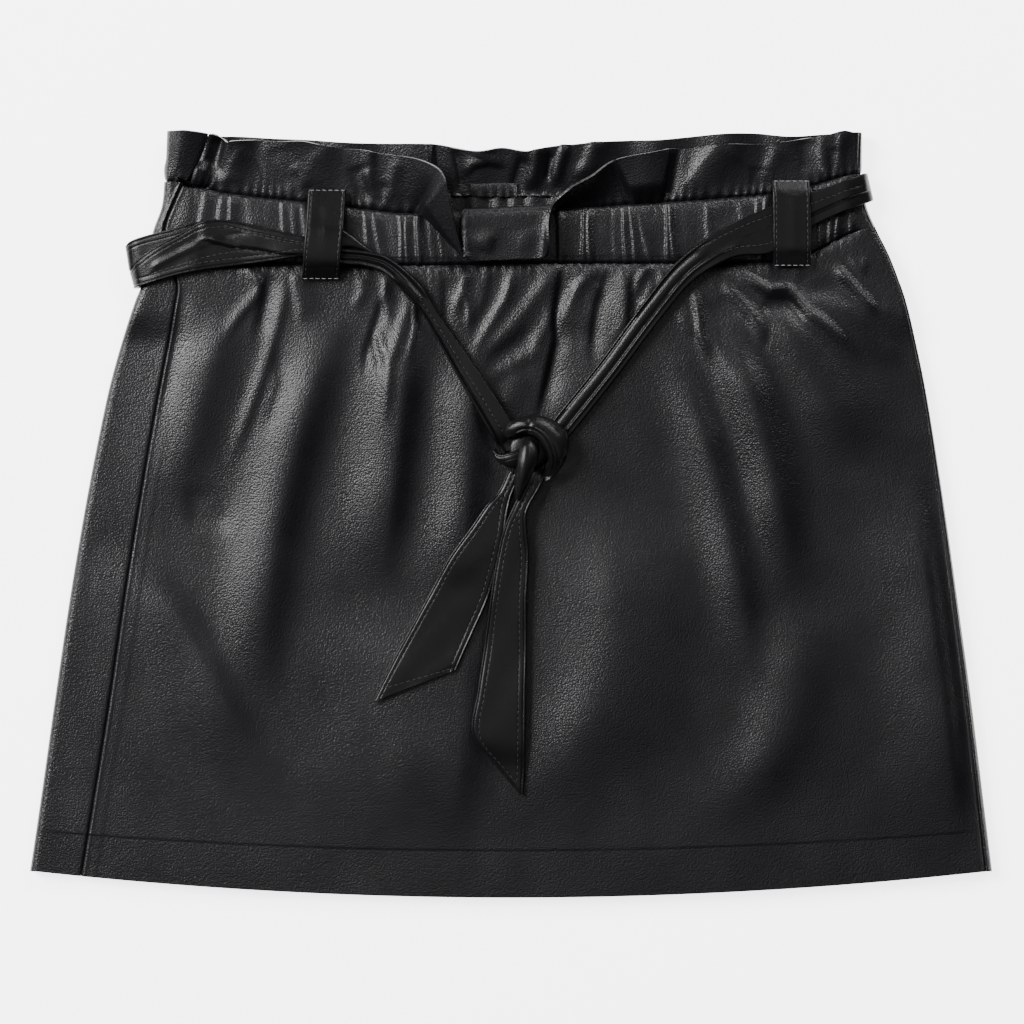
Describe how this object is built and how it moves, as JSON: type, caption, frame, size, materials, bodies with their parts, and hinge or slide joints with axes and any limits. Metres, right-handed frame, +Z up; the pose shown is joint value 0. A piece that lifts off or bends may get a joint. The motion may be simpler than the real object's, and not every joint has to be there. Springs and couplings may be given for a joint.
{
  "type": "leather mini skirt",
  "caption": "A-line mini skirt in black faux leather with a gathered paper-bag waist and a knotted tie belt, lying flat, front up.",
  "frame": {"origin": "centre of the footprint, on the surface that the skirt lies on", "axes": "+X across the skirt to the right of the front as seen from above, +Y from the hem to the waist, +Z up off the surface, out of the front"},
  "size_m": [0.5008, 0.4001, 0.0409],
  "materials": {
    "skirt_leather": "semi-matte black faux leather with a fine pebbled grain",
    "belt_leather": "semi-matte black faux leather, edge stitched"
  },
  "bodies": {
    "root": {"skirt_front": "skirt_leather", "skirt_back": "skirt_leather", "waistband_front": "skirt_leather", "waistband_back": "skirt_leather", "frill_front": "skirt_leather", "frill_back": "skirt_leather", "neck_tab": "skirt_leather", "belt_loop_left": "belt_leather", "belt_loop_right": "belt_leather", "belt_left_turn": "belt_leather", "belt_back": "belt_leather", "belt_right_turn": "belt_leather", "belt_left_front": "belt_leather", "belt_right_front": "belt_leather", "belt_knot": "belt_leather", "belt_tail_left": "belt_leather", "belt_tail_right": "belt_leather"}
  },
  "joints": []
}
